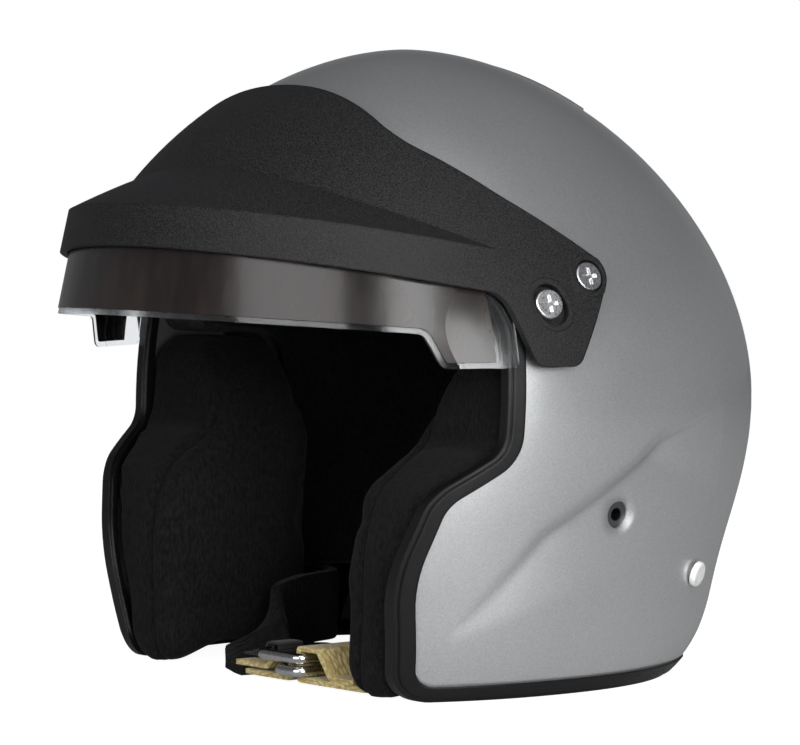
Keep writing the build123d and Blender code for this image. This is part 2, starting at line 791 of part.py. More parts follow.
# Rivets and plates that hold the strap to the shell
with BuildPart() as strap_rivets:
    with BuildSketch(rivet_plane.offset(rivet_lift)):
        Circle(rivet_head / 2)
    extrude(amount=rivet_head_rise)
    rivet_axis = Axis(rivet_plane.origin, rivet_plane.z_dir)
    fillet(strap_rivets.edges().sort_by(rivet_axis)[-1], rivet_head_round)
    with BuildSketch(rivet_plane.offset(-strap_depth - web_thickness / 2)):
        Circle(rivet_shank / 2)
    extrude(amount=strap_depth + web_thickness)
    with BuildSketch(rivet_plane.offset(-strap_depth - web_thickness / 2 - rivet_tail_rise)):
        Circle(rivet_tail / 2)
    extrude(amount=rivet_tail_rise)
    mirror(about=Plane.YZ)
strap_rivets.part.label = "strap_rivets"
export_step(strap_rivets.part, "parts/strap_rivets.step")

with BuildPart() as strap_plates:
    with BuildSketch(rivet_plane.offset(-strap_depth)):
        Rectangle(plate_length, plate_width, rotation=strap_slope)
        Circle((rivet_shank + plate_gap) / 2, mode=Mode.SUBTRACT)
    extrude(amount=strap_depth)
    mirror(about=Plane.YZ)
    add(helmet_form(shell_wall + plate_gap), mode=Mode.INTERSECT)
    add(helmet_form(shell_wall + plate_gap + plate_thickness), mode=Mode.SUBTRACT)
strap_plates.part.label = "strap_plates"
export_step(strap_plates.part, "parts/strap_plates.step")

# Chin strap
loop_plane = Plane((buckle_x, buckle_y, 0), x_dir=(-1, 0, 0), z_dir=(0, 1, 0))


def folded_band(route, width, thickness):
    """Band folded along a route in the plane of the buckle."""
    with BuildPart() as band:
        with BuildSketch(loop_plane):
            with BuildLine():
                FilletPolyline(*route, radius=route_bend)
            trace(line_width=thickness)
        extrude(amount=width / 2, both=True)
    return band.part


def strap_stations(side, start_x, x_shares, route, lean_shares, wall_steps):
    """Places of a strap and its facing there, from the buckle to the rivet on one side."""
    run_x = side * half_width - start_x
    stations = [
        (Vector(start_x + share * run_x, y, z), Vector(side * lean, 0, 1 - lean))
        for share, (y, z), lean in zip(x_shares, route, lean_shares)
    ]
    for step in wall_steps:
        place = side_plane(
            rivet_y - step * cos(radians(strap_slope)),
            rivet_height - step * sin(radians(strap_slope)),
            -strap_depth,
        )
        point, facing = place.origin, place.z_dir
        stations.append((
            Vector(side * point.X, point.Y, point.Z), Vector(side * facing.X, facing.Y, facing.Z)
        ))
    return stations


def strap_slices(stations, width, thickness):
    """Cross-sections of a strap at its places."""
    slices = []
    for order, (point, facing) in enumerate(stations):
        before = stations[max(order - 1, 0)][0]
        after = stations[min(order + 1, len(stations) - 1)][0]
        along = (after - before).normalized()
        with BuildSketch(Plane(point, x_dir=facing.cross(along), z_dir=along)) as slice_at:
            Rectangle(width, thickness)
        slices.append(slice_at.sketch.face())
    return slices


left_stations = strap_stations(
    1, buckle_x - loop_route[0][0], left_x_shares, left_route, left_lean_shares, left_wall_steps
)
right_stations = strap_stations(
    -1, buckle_x - thread_route[0][0], right_x_shares, right_route, right_lean_shares,
    right_wall_steps,
)
left_loop = folded_band(loop_route, web_width, web_thickness)
right_fold = folded_band(thread_route, web_width, web_thickness)

with BuildPart() as strap_left:
    loft(strap_slices(left_stations, web_width, web_thickness), ruled=True)
    add(left_loop)
    add(strap_rivets.part, mode=Mode.SUBTRACT)
strap_left.part.label = "strap_left"
export_step(strap_left.part, "parts/strap_left.step")

with BuildPart() as strap_right:
    loft(strap_slices(right_stations, web_width, web_thickness), ruled=True)
    add(right_fold)
    add(strap_rivets.part, mode=Mode.SUBTRACT)
strap_right.part.label = "strap_right"
export_step(strap_right.part, "parts/strap_right.step")


def sleeve(stations, ends, web):
    """Fabric tube round a strap, between two of its places."""
    with BuildPart() as tube:
        loft(strap_slices(stations, sleeve_width, web_thickness + 2 * sleeve_thickness), ruled=True)
        add(web, mode=Mode.SUBTRACT)
        for end, kept in zip(ends, (Keep.TOP, Keep.BOTTOM)):
            along = stations[end + 1][0] - stations[end - 1][0]
            split(bisect_by=Plane(stations[end][0], z_dir=along), keep=kept)
    return tube.part


with BuildPart() as strap_sleeve_left:
    add(sleeve(left_stations, left_sleeve_places, strap_left.part))
strap_sleeve_left.part.label = "strap_sleeve_left"
export_step(strap_sleeve_left.part, "parts/strap_sleeve_left.step")

with BuildPart() as strap_sleeve_right:
    add(sleeve(right_stations, right_sleeve_places, strap_right.part))
strap_sleeve_right.part.label = "strap_sleeve_right"
export_step(strap_sleeve_right.part, "parts/strap_sleeve_right.step")


def d_ring(length, level):
    """Ring of round wire with one straight bar and one bowed bar, lying flat at a height."""
    across = (ring_inside + ring_wire) / 2
    with BuildPart() as ring:
        ring_plane = Plane((buckle_x, buckle_y, level), x_dir=(-1, 0, 0), z_dir=(0, 0, 1))
        with BuildLine(ring_plane) as wire:
            Line((bar_place, -across), (bar_place, across))
            Line((bar_place, across), (length - ring_bow, across))
            ThreePointArc((length - ring_bow, across), (length, 0), (length - ring_bow, -across))
            Line((length - ring_bow, -across), (bar_place, -across))
            fillet(wire.vertices(), ring_corner)
        with BuildSketch(Plane(wire.line @ 0, z_dir=wire.line % 0)):
            Circle(ring_wire / 2)
        sweep()
    return ring.part


with BuildPart() as ring_inner:
    add(d_ring(ring_short, bar_low_height))
ring_inner.part.label = "ring_inner"
export_step(ring_inner.part, "parts/ring_inner.step")

with BuildPart() as ring_outer:
    add(d_ring(ring_long, bar_high_height))
ring_outer.part.label = "ring_outer"
export_step(ring_outer.part, "parts/ring_outer.step")

with BuildPart() as pull_tab:
    add(folded_band(tab_route, tab_width, tab_thickness))
pull_tab.part.label = "pull_tab"
export_step(pull_tab.part, "parts/pull_tab.step")
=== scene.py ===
from math import exp, radians

import bpy
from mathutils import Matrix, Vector


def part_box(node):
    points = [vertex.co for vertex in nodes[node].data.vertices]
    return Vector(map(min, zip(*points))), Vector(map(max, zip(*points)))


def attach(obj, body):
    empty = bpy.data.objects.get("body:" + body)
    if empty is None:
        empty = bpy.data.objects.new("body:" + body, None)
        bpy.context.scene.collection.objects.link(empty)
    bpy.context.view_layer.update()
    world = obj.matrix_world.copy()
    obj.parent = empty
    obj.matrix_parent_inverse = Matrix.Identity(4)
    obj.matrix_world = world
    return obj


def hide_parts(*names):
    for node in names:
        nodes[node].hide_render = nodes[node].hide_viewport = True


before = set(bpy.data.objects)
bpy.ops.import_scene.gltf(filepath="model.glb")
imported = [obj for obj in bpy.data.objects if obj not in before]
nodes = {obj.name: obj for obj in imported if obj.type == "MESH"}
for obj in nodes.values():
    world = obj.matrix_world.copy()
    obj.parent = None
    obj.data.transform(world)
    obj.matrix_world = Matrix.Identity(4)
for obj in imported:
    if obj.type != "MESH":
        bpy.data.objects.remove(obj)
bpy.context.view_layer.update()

scene = bpy.context.scene
scene.view_settings.view_transform = "Standard"

# Camera: a long lens at the height of the peak, to the front of the helmet's left side.
# It stands so far back that near and far edges of the face opening keep almost the same size.
camera_place = Vector((1.2213, -0.9804, 0.1992))
camera_look = Vector((-0.7794, 0.6244, -0.0528))
camera_data = bpy.data.cameras.new("camera")
camera_data.sensor_width = 36.0
camera_data.lens = 178.15
camera_data.clip_end = 20.0
camera = bpy.data.objects.new("camera", camera_data)
camera.location = camera_place
camera.rotation_euler = camera_look.to_track_quat("-Z", "Y").to_euler()
scene.collection.objects.link(camera)
scene.camera = camera

# Studio: a white floor under a white surround that greys overhead, as in a light tent with an
# open top, and three soft boxes. The eye sees the white whole, gloss and metal see a share of
# it, and cloth is lit by a dim fill.
tent_white, tent_grey = (1.0, 1.0, 1.0, 1.0), (0.07, 0.07, 0.075, 1.0)
grey_from, grey_to = 0.10, 0.45
fill_tint, fill_level = (0.86, 0.90, 0.96, 1.0), 0.11
gloss_share = 0.10
world = bpy.data.worlds.new("studio")
scene.world = world
world.use_nodes = True
air = world.node_tree
air.nodes.clear()
air_output = air.nodes.new("ShaderNodeOutputWorld")
fill = air.nodes.new("ShaderNodeBackground")
fill.inputs["Color"].default_value = fill_tint
fill.inputs["Strength"].default_value = fill_level
tent = air.nodes.new("ShaderNodeBackground")
place_in_tent = air.nodes.new("ShaderNodeTexCoord")
height_in_tent = air.nodes.new("ShaderNodeSeparateXYZ")
tent_tone = air.nodes.new("ShaderNodeValToRGB")
tent_tone.color_ramp.elements[0].position = grey_from
tent_tone.color_ramp.elements[0].color = tent_white
tent_tone.color_ramp.elements[1].position = grey_to
tent_tone.color_ramp.elements[1].color = tent_grey
tent_tone.color_ramp.interpolation = "EASE"
air.links.new(place_in_tent.outputs["Generated"], height_in_tent.inputs["Vector"])
air.links.new(height_in_tent.outputs["Z"], tent_tone.inputs["Fac"])
air.links.new(tent_tone.outputs["Color"], tent.inputs["Color"])
air_mix = air.nodes.new("ShaderNodeMixShader")
air.links.new(fill.outputs["Background"], air_mix.inputs[1])
air.links.new(tent.outputs["Background"], air_mix.inputs[2])
air.links.new(air_mix.outputs["Shader"], air_output.inputs["Surface"])

floor_size, floor_sink = 8.0, 0.0004
paper_tone, paper_roughness = (0.34, 0.34, 0.34, 1.0), 0.9
floor_glow = 0.955
bpy.ops.object.select_all(action="DESELECT")
bpy.ops.mesh.primitive_plane_add(size=floor_size, location=(0.0, 0.0, -floor_sink))
floor = bpy.context.object
floor.name = "floor"
bpy.ops.object.transform_apply(location=True, rotation=False, scale=False)
floor_paper = bpy.data.materials.new("white_paper")
floor_paper.use_nodes = True
paper = floor_paper.node_tree.nodes["Principled BSDF"]
paper.inputs["Base Color"].default_value = paper_tone
paper.inputs["Roughness"].default_value = paper_roughness
paper.inputs["Emission Color"].default_value = tent_white
floor.data.materials.append(floor_paper)


def seen_rays(tree):
    """Share of the white: all of it for the eye and through glass, less in gloss and metal, which
    mirror the dim side of the tent too, and none for the light on cloth."""
    rays = tree.nodes.new("ShaderNodeLightPath")
    dimmed = tree.nodes.new("ShaderNodeMath")
    dimmed.operation = "MULTIPLY"
    dimmed.inputs[1].default_value = gloss_share
    tree.links.new(rays.outputs["Is Glossy Ray"], dimmed.inputs[0])
    either = tree.nodes.new("ShaderNodeMath")
    either.operation = "MAXIMUM"
    tree.links.new(rays.outputs["Is Camera Ray"], either.inputs[0])
    tree.links.new(rays.outputs["Is Transmission Ray"], either.inputs[1])
    any_of = tree.nodes.new("ShaderNodeMath")
    any_of.operation = "MAXIMUM"
    tree.links.new(either.outputs["Value"], any_of.inputs[0])
    tree.links.new(dimmed.outputs["Value"], any_of.inputs[1])
    return any_of.outputs["Value"]


air.links.new(seen_rays(air), air_mix.inputs["Fac"])
glow = floor_paper.node_tree.nodes.new("ShaderNodeMath")
glow.operation = "MULTIPLY"
glow.inputs[1].default_value = floor_glow
floor_paper.node_tree.links.new(seen_rays(floor_paper.node_tree), glow.inputs[0])
floor_paper.node_tree.links.new(glow.outputs["Value"], paper.inputs["Emission Strength"])

lamp_aim = Vector((0.0, 0.0, 0.12))
soft_boxes = (
    ("front_lamp", Vector((0.75, -1.8, 0.75)), 1.6, 24.0),
    ("side_lamp", Vector((1.65, -0.45, 0.40)), 1.1, 29.0),
    ("top_lamp", Vector((1.1, -0.5, 1.7)), 1.2, 12.0),
)
for lamp_name, lamp_place, lamp_size, watts in soft_boxes:
    lamp_data = bpy.data.lights.new(lamp_name, "AREA")
    lamp_data.shape = "DISK"
    lamp_data.size = lamp_size
    lamp_data.energy = watts
    lamp = bpy.data.objects.new(lamp_name, lamp_data)
    lamp.location = lamp_place
    lamp.rotation_euler = (lamp_aim - lamp_place).to_track_quat("-Z", "Y").to_euler()
    scene.collection.objects.link(lamp)


# Outer shell: one glass-fibre moulding with a hollow in each side and a fairing at the back.
# It is sprayed silver, with a flake as fine as flour, under a clear lacquer that lies a little
# uneven. The paint rounds the edges of the hollows.
flake_size, flake_depth = 0.00035, 0.00003
flake_tones = (0.46, 0.47, 0.48), (0.60, 0.61, 0.62)
cloud_size, cloud_roughness = 0.05, (0.31, 0.36)
lacquer_wave, lacquer_depth = 0.006, 0.00002
hollow_radius, hollow_samples = 0.007, 6
wide_window, narrow_window = (0.3, 0.7), (0.35, 0.65)


def new_finish(name, sockets):
    """Starts a finish, with what is even all over set on the shader's own sockets."""
    finish = bpy.data.materials.new(name)
    finish.use_nodes = True
    shader = finish.node_tree.nodes["Principled BSDF"]
    for socket, value in sockets.items():
        shader.inputs[socket].default_value = value
    return finish


def grain(finish, kind, size, stretch=(1.0, 1.0, 1.0), map_name=None, **sockets):
    """Texture whose cells are about a size in metres, on the object's or a map's coordinates."""
    tree = finish.node_tree
    if map_name:
        place = tree.nodes.new("ShaderNodeUVMap")
        place.uv_map = map_name
        where = place.outputs["UV"]
    else:
        place = tree.nodes.new("ShaderNodeTexCoord")
        where = place.outputs["Object"]
    mapping = tree.nodes.new("ShaderNodeMapping")
    mapping.inputs["Scale"].default_value = stretch
    tree.links.new(where, mapping.inputs["Vector"])
    texture = tree.nodes.new(kind)
    texture.inputs["Scale"].default_value = 1.0 / size
    for socket, value in sockets.items():
        texture.inputs[socket].default_value = value
    tree.links.new(mapping.outputs["Vector"], texture.inputs["Vector"])
    return texture


def grade(finish, source, socket, span, window=(0.0, 1.0)):
    """Feeds a socket of the shader from a texture: its values over a window become a span."""
    tree = finish.node_tree
    ramp = tree.nodes.new("ShaderNodeValToRGB")
    for element, place, value in zip(ramp.color_ramp.elements, window, span):
        element.position = place
        element.color = (*value, 1.0) if isinstance(value, tuple) else (value, value, value, 1.0)
    tree.links.new(source, ramp.inputs["Fac"])
    tree.links.new(ramp.outputs["Color"], tree.nodes["Principled BSDF"].inputs[socket])


def raise_grain(finish, height, depth, socket="Normal"):
    """Raises a texture by a depth in metres, on top of what the socket has already."""
    tree = finish.node_tree
    bump = tree.nodes.new("ShaderNodeBump")
    bump.inputs["Strength"].default_value = 1.0
    bump.inputs["Distance"].default_value = depth
    target = tree.nodes["Principled BSDF"].inputs[socket]
    if target.is_linked:
        tree.links.new(target.links[0].from_socket, bump.inputs["Normal"])
    tree.links.new(height, bump.inputs["Height"])
    tree.links.new(bump.outputs["Normal"], target)


def ease_edges(finish, radius, samples=4):
    """Lets the light round the sharp edges of a moulding, as its small radii do."""
    tree = finish.node_tree
    eased = tree.nodes.new("ShaderNodeBevel")
    eased.samples = samples
    eased.inputs["Radius"].default_value = radius
    tree.links.new(eased.outputs["Normal"], tree.nodes["Principled BSDF"].inputs["Normal"])


def dress(names, finish):
    """Gives carried-over pieces their finish."""
    for name in names:
        materials = nodes[name].data.materials
        if not materials:
            materials.append(finish)
        for place in range(len(materials)):
            materials[place] = finish


silver_paint = new_finish("silver_paint", {
    "Metallic": 0.82, "Coat Weight": 1.0, "Coat Roughness": 0.08, "Coat IOR": 1.5,
})
ease_edges(silver_paint, hollow_radius, hollow_samples)
flakes = grain(silver_paint, "ShaderNodeTexVoronoi", flake_size)
grade(silver_paint, flakes.outputs["Color"], "Base Color", flake_tones)
cloud = grain(silver_paint, "ShaderNodeTexNoise", cloud_size, Detail=3.0)
grade(silver_paint, cloud.outputs["Fac"], "Roughness", cloud_roughness, wide_window)
raise_grain(silver_paint, flakes.outputs["Distance"], flake_depth)
wave = grain(silver_paint, "ShaderNodeTexNoise", lacquer_wave, Detail=1.0)
raise_grain(silver_paint, wave.outputs["Fac"], lacquer_depth, "Coat Normal")
dress(["outer_shell"], silver_paint)

# Edge trim: a channel of extruded black rubber, pushed over the bare edge of the shell all the
# way round and glued. Its skin is satin and a little mottled.
trim_radius = 0.0013
skin_size, skin_depth, skin_roughness = 0.0015, 0.00004, (0.30, 0.44)
trim_rubber = new_finish("trim_rubber", {
    "Base Color": (0.006, 0.006, 0.0065, 1.0), "IOR": 1.45, "Specular IOR Level": 0.3,
})
ease_edges(trim_rubber, trim_radius)
skin = grain(trim_rubber, "ShaderNodeTexNoise", skin_size, Detail=4.0)
grade(trim_rubber, skin.outputs["Fac"], "Roughness", skin_roughness, narrow_window)
raise_grain(trim_rubber, skin.outputs["Fac"], skin_depth)
dress(["edge_trim"], trim_rubber)

# Impact liner: black expanded foam, moulded in one piece as beads that press flat against each
# other, and pushed into the shell. The blocks behind the cheek pads are of the same foam.
bead_size, bead_sink, bead_roughness = 0.0035, -0.0003, (0.62, 0.9)
bead_tones = (0.012, 0.012, 0.013), (0.026, 0.026, 0.028)
bead_foam = new_finish("bead_foam", {"IOR": 1.4})
beads = grain(bead_foam, "ShaderNodeTexVoronoi", bead_size)
grade(bead_foam, beads.outputs["Color"], "Base Color", bead_tones)
grade(bead_foam, beads.outputs["Distance"], "Roughness", bead_roughness)
raise_grain(bead_foam, beads.outputs["Distance"], bead_sink)
dress(["impact_liner", "cheek_block_left", "cheek_block_right"], bead_foam)

# Comfort lining: a cap of soft foam under brushed black cloth, sewn from a middle panel, two
# side panels and a band, and pressed into the impact liner. It swells between its seams.
merge_gap = 0.00002
filling_frames, filling_quality = 20, 4
cap_voxel, cap_slack, cap_swell, cap_pressure, cap_fill = 0.0035, 0.0005, 0.0025, 2.0, 0.5
cap_seam_width, cap_seam_depth = 0.0022, 0.0016
head_middle = Vector((0.0, 0.0, 0.11))
panel_seam_x, panel_seam_lean = 0.042, 0.12
band_seam_height, band_seam_lean = 0.192, 0.1
cap_seams = (
    (Vector((panel_seam_x, 0.0, 0.0)), Vector((1.0, 0.0, panel_seam_lean))),
    (Vector((-panel_seam_x, 0.0, 0.0)), Vector((-1.0, 0.0, panel_seam_lean))),
    (Vector((0.0, 0.0, band_seam_height)), Vector((0.0, band_seam_lean, 1.0))),
)
nap_size, nap_depth, nap_roughness = 0.0011, 0.0005, (0.85, 1.0)
nap_tones, nap_window = ((0.003, 0.003, 0.003), (0.011, 0.011, 0.012)), (0.35, 0.7)


def loose_copy(node, name):
    """Merged copy of a CAD solid, to be shaped further, with its object at the origin."""
    bpy.ops.object.select_all(action="DESELECT")
    piece = bpy.data.objects.new(name, nodes[node].data.copy())
    scene.collection.objects.link(piece)
    piece.data.materials.clear()
    piece.select_set(True)
    bpy.context.view_layer.objects.active = piece
    bpy.ops.object.mode_set(mode="EDIT")
    bpy.ops.mesh.select_all(action="SELECT")
    bpy.ops.mesh.remove_doubles(threshold=merge_gap)
    bpy.ops.mesh.normals_make_consistent(inside=False)
    bpy.ops.object.mode_set(mode="OBJECT")
    return piece


def settle(piece, kind, **settings):
    """Adds a modifier with its settings and applies it."""
    modifier = piece.modifiers.new(kind.lower(), kind)
    for name, value in settings.items():
        setattr(modifier, name, value)
    bpy.context.view_layer.objects.active = piece
    bpy.ops.object.modifier_apply(modifier=modifier.name)


def stuff(piece, voxel, slack, swell, pressure=4.0):
    """Turns a plain solid into a filled skin: drawn in by its slack, then blown up as cloth,
    with each point held within a swell of its place, and smoothed by one subdivision."""
    settle(piece, "REMESH", mode="VOXEL", voxel_size=voxel)
    for vertex, normal in zip(piece.data.vertices, [v.normal.copy() for v in piece.data.vertices]):
        vertex.co -= normal * slack
    rest = [vertex.co.copy() for vertex in piece.data.vertices]
    filling = piece.modifiers.new("filling", "CLOTH")
    filling.settings.use_pressure = True
    filling.settings.uniform_pressure_force = pressure
    filling.settings.effector_weights.gravity = 0.0
    filling.settings.quality = filling_quality
    for step in range(1, filling_frames + 1):
        scene.frame_set(step)
    bpy.context.view_layer.objects.active = piece
    bpy.ops.object.modifier_apply(modifier="filling")
    scene.frame_set(1)
    for vertex, place in zip(piece.data.vertices, rest):
        moved = vertex.co - place
        if moved.length > swell:
            vertex.co = place + moved * (swell / moved.length)
    settle(piece, "SUBSURF", levels=1, render_levels=1)


def sew(piece, point, across, width, depth, within=None):
    """Draws a seam into the skin where it meets a plane."""
    across = across.normalized()
    for vertex, normal in [(v, v.normal.copy()) for v in piece.data.vertices]:
        if within and not within(vertex.co, normal):
            continue
        off = (vertex.co - point).dot(across)
        vertex.co -= normal * depth * exp(-(off / width)**2)


def hand_over(piece, node, finish, body="root"):
    """Lets a finished piece stand for its CAD node: material, body and slot."""
    for polygon in piece.data.polygons:
        polygon.use_smooth = True
    piece.data.materials.append(finish)
    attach(piece, body)
    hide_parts(node)


def into_cavity(place, normal):
    """True on the side of the cap that lies against the head."""
    return normal.dot(head_middle - place) > 0.0


brushed_cloth = new_finish("brushed_cloth", {
    "Sheen Weight": 0.03, "Sheen Roughness": 0.5, "Specular IOR Level": 0.15, "IOR": 1.3,
})
nap = grain(brushed_cloth, "ShaderNodeTexNoise", nap_size, stretch=(1.0, 1.0, 0.45), Detail=6.0)
grade(brushed_cloth, nap.outputs["Fac"], "Base Color", nap_tones, nap_window)
grade(brushed_cloth, nap.outputs["Fac"], "Roughness", nap_roughness, wide_window)
raise_grain(brushed_cloth, nap.outputs["Fac"], nap_depth)

head_cap = loose_copy("comfort_liner", "head_cap")
stuff(head_cap, cap_voxel, cap_slack, cap_swell, cap_pressure)
for seam_point, seam_across in cap_seams:
    sew(head_cap, seam_point, seam_across, cap_seam_width, cap_seam_depth, into_cavity)
hand_over(head_cap, "comfort_liner", brushed_cloth)

# Brow pad and nape pad: two rolls of the same cloth over soft foam, one across the forehead and
# one along the back of the neck. Each has a seam along its middle.
roll_voxel, roll_slack, roll_swell, roll_fill = 0.003, 0.0012, 0.003, 0.7
roll_seam_width, roll_seam_depth = 0.0016, 0.0014
for roll_node, roll_name in (("brow_pad", "brow_roll"), ("nape_pad", "nape_roll")):
    roll_low, roll_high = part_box(roll_node)
    roll = loose_copy(roll_node, roll_name)
    stuff(roll, roll_voxel, roll_slack, roll_swell)
    middle = (roll_low + roll_high) / 2
    sew(roll, middle, Vector((0.0, 0.0, 1.0)), roll_seam_width, roll_seam_depth)
    hand_over(roll, roll_node, brushed_cloth)

# Cheek pads: thick foam under brushed cloth, one on each side, clipped over its block. The inner
# panel is sewn to a side wall all round, with a seam that pulls the cloth in, and a channel
# crosses the panel where the foam is thinned for the ear.
pad_voxel, pad_slack, pad_swell, pad_fill = 0.004, 0.0008, 0.0045, 0.8
wall_seam_inset, wall_seam_width, wall_seam_depth, wall_facing = 0.011, 0.0018, 0.0020, 0.75
ear_channel_height, ear_channel_lean = 0.068, 0.25
ear_channel_width, ear_channel_depth, panel_facing = 0.0026, 0.0018, 0.5
toe_pull = (0.072, -0.070, 0.012), 0.030, (-0.002, -0.004, -0.010)
sleeve_room = (0.056, -0.008, 0.018), 0.032, (0.004, 0.0, 0.0)
foot_clear = 0.0006


def grab(piece, centre, reach, move):
    """Draws the skin along, most at a centre and fading smoothly to nothing at its reach."""
    for vertex in piece.data.vertices:
        near = 1.0 - (vertex.co - centre).length / reach
        if near > 0.0:
            vertex.co += move * (near * near * (3.0 - 2.0 * near))


def on_side(side, place):
    """Takes a place or a move on the left side to either side."""
    x, y, z = place
    return Vector((side * x, y, z))


for side, side_name in ((1.0, "left"), (-1.0, "right")):
    node = f"cheek_pad_{side_name}"
    pad_low, pad_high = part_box(node)
    inner_x = pad_low.x if side > 0 else pad_high.x
    cushion = loose_copy(node, f"cheek_cushion_{side_name}")
    stuff(cushion, pad_voxel, pad_slack, pad_swell)
    sew(
        cushion, Vector((inner_x + side * wall_seam_inset, 0.0, 0.0)), Vector((1.0, 0.0, 0.0)),
        wall_seam_width, wall_seam_depth, lambda place, normal: abs(normal.x) < wall_facing,
    )
    sew(
        cushion, Vector((inner_x, 0.0, ear_channel_height)), Vector((0.0, ear_channel_lean, 1.0)),
        ear_channel_width, ear_channel_depth,
        lambda place, normal, side=side: -normal.x * side > panel_facing,
    )
    for centre, reach, move in (toe_pull, sleeve_room):
        grab(cushion, on_side(side, centre), reach, on_side(side, move))
    for vertex in cushion.data.vertices:
        vertex.co.z = max(vertex.co.z, foot_clear)
    hand_over(cushion, node, brushed_cloth)

# Terminals: a turned steel insert with a threaded bore, pressed into each side for the clip of a
# head and neck restraint. The steel is oiled and dark, with the fine lines that turning leaves.
# The nuts of the peak's screws are of the same steel.
turned_size, turned_depth, turned_roughness = 0.0006, 0.00003, (0.28, 0.42)
turned_tones = (0.10, 0.10, 0.11), (0.20, 0.20, 0.21)
insert_steel = new_finish("insert_steel", {"Metallic": 1.0})
turned = grain(insert_steel, "ShaderNodeTexNoise", turned_size, stretch=(4.0, 1.0, 1.0), Detail=2.0)
grade(insert_steel, turned.outputs["Fac"], "Base Color", turned_tones)
grade(insert_steel, turned.outputs["Fac"], "Roughness", turned_roughness)
raise_grain(insert_steel, turned.outputs["Fac"], turned_depth)
dress(["anchor_insert_left", "anchor_insert_right", "peak_nuts"], insert_steel)

# Peak: one injection moulding in black plastic, with a spark-eroded grain that breaks the light
# into fine points. It is screwed to the shell on each side and tilts on its rear screws.
peak_radius = 0.0012
pit_size, pit_depth, pit_roughness = 0.00055, 0.00022, (0.42, 0.62)
pit_tones, pit_window = ((0.006, 0.006, 0.006), (0.022, 0.022, 0.023)), (0.4, 0.62)
peak_plastic = new_finish("peak_plastic", {"IOR": 1.45, "Specular IOR Level": 0.22})
ease_edges(peak_plastic, peak_radius)
pits = grain(peak_plastic, "ShaderNodeTexNoise", pit_size, Detail=3.0)
grade(peak_plastic, pits.outputs["Fac"], "Base Color", pit_tones, pit_window)
grade(peak_plastic, pits.outputs["Fac"], "Roughness", pit_roughness, narrow_window)
raise_grain(peak_plastic, pits.outputs["Fac"], pit_depth)
dress(["peak"], peak_plastic)

# Screws and washers of the peak: bright turned aluminium pan heads with a cross recess, over
# black plastic washers that let the peak slide on the paint.
screw_radius = 0.0003
swirl_size, swirl_depth, swirl_roughness = 0.0008, 0.0000015, (0.26, 0.34)
bright_window = (0.35, 0.6)
swirl_tones = (0.74, 0.74, 0.75), (0.86, 0.86, 0.87)
screw_metal = new_finish("screw_aluminium", {"Metallic": 1.0})
ease_edges(screw_metal, screw_radius)
swirl = grain(screw_metal, "ShaderNodeTexNoise", swirl_size, Detail=3.0)
grade(screw_metal, swirl.outputs["Fac"], "Base Color", swirl_tones, bright_window)
grade(screw_metal, swirl.outputs["Fac"], "Roughness", swirl_roughness, narrow_window)
raise_grain(screw_metal, swirl.outputs["Fac"], swirl_depth)
dress(["pivot_screws", "slot_screws"], screw_metal)

washer_size, washer_depth, washer_roughness = 0.0012, 0.00003, (0.45, 0.65)
washer_tones = (0.006, 0.006, 0.006), (0.014, 0.014, 0.014)
washer_plastic = new_finish("washer_plastic", {"IOR": 1.45})
dulled = grain(washer_plastic, "ShaderNodeTexNoise", washer_size, Detail=4.0)
grade(washer_plastic, dulled.outputs["Fac"], "Base Color", washer_tones)
grade(washer_plastic, dulled.outputs["Fac"], "Roughness", washer_roughness)
raise_grain(washer_plastic, dulled.outputs["Fac"], washer_depth)
dress(["screw_washers"], washer_plastic)

# Sun strip: a clear polycarbonate blade, clipped inside the band of the peak, with a dark film
# laid on its face a little in from its edges. The film has a faint ripple from the squeegee in its
# surface, and its colour carries painted reflection: soft, lighter bands that run up and down.
haze_size, haze_depth, haze_roughness, haze_window = 0.004, 0.00001, (0.10, 0.16), (0.4, 0.7)
clear_plastic = new_finish("clear_strip", {
    "Transmission Weight": 1.0, "IOR": 1.42, "Base Color": (0.86, 0.88, 0.90, 1.0),
})
haze = grain(clear_plastic, "ShaderNodeTexNoise", haze_size, Detail=3.0)
grade(clear_plastic, haze.outputs["Fac"], "Roughness", haze_roughness, haze_window)
raise_grain(clear_plastic, haze.outputs["Fac"], haze_depth)
dress(["sun_strip"], clear_plastic)

ripple_and_band_size, ripple_depth, ripple_roughness = 0.012, 0.00006, (0.22, 0.30)
film_tones_with_painted_reflection = (0.007, 0.005, 0.005), (0.020, 0.015, 0.013)
dark_film = new_finish("dark_film", {
    "Coat Weight": 0.25, "Coat Roughness": 0.15, "IOR": 1.45, "Specular IOR Level": 0.35,
})
ripple_and_painted_bands = grain(dark_film, "ShaderNodeTexNoise", ripple_and_band_size, stretch=(1.0, 1.0, 0.3), Detail=2.0)
# Painted reflection: the film's colour turns lighter in stretched vertical bands, standing in for the
# studio's light mirrored in it.
grade(dark_film, ripple_and_painted_bands.outputs["Fac"], "Base Color", film_tones_with_painted_reflection, wide_window)
grade(dark_film, ripple_and_painted_bands.outputs["Fac"], "Roughness", ripple_roughness, narrow_window)
raise_grain(dark_film, ripple_and_painted_bands.outputs["Fac"], ripple_depth)
dress(["tint_film"], dark_film)

